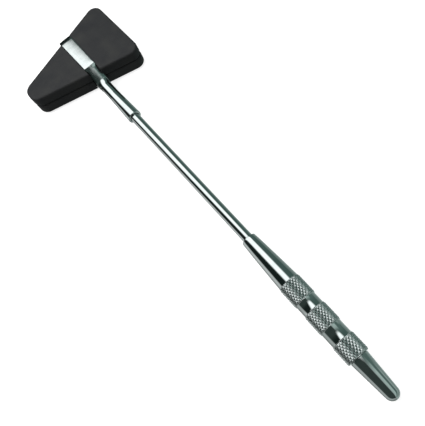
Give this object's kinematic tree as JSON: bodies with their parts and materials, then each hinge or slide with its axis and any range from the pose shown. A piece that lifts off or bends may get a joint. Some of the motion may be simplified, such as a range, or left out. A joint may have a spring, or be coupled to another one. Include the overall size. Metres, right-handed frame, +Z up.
{
  "type": "reflex hammer",
  "caption": "Triangular rubber-headed reflex hammer with a chrome strap, slim rod, knurled handle and a brush behind its screw tail cap.",
  "frame": {"origin": "middle of the strap's flat underside, straight below the point where the handle's axis crosses the head's centre line", "axes": "+Y along the handle from the tail to the head's outer end, +X from the head's narrow end to its flat broad end, +Z up through the head's thickness"},
  "size_m": [0.0505, 0.2033, 0.0117],
  "materials": {
    "rubber": "matt moulded black rubber",
    "strap_chrome": "bright chrome plate with light handling wear",
    "handle_chrome": "bright chrome plate on turned and knurled brass",
    "brass": "turned brass",
    "bristle": "fine pale bristle"
  },
  "bodies": {
    "hammer": {"rubber_head": "rubber", "head_strap": "strap_chrome", "neck_socket": "strap_chrome", "shaft_rod": "handle_chrome", "handle_grip": "handle_chrome"},
    "cap_and_brush": {"tail_cap": "handle_chrome", "brush_stem": "brass", "brush_ferrule": "brass", "brush_bristles": "bristle"}
  },
  "joints": [
    {"name": "tail_cap_pull", "type": "slide", "parent": "hammer", "child": "cap_and_brush", "axis": [0, -1, 0], "range_m": [0, 0.045]}
  ]
}
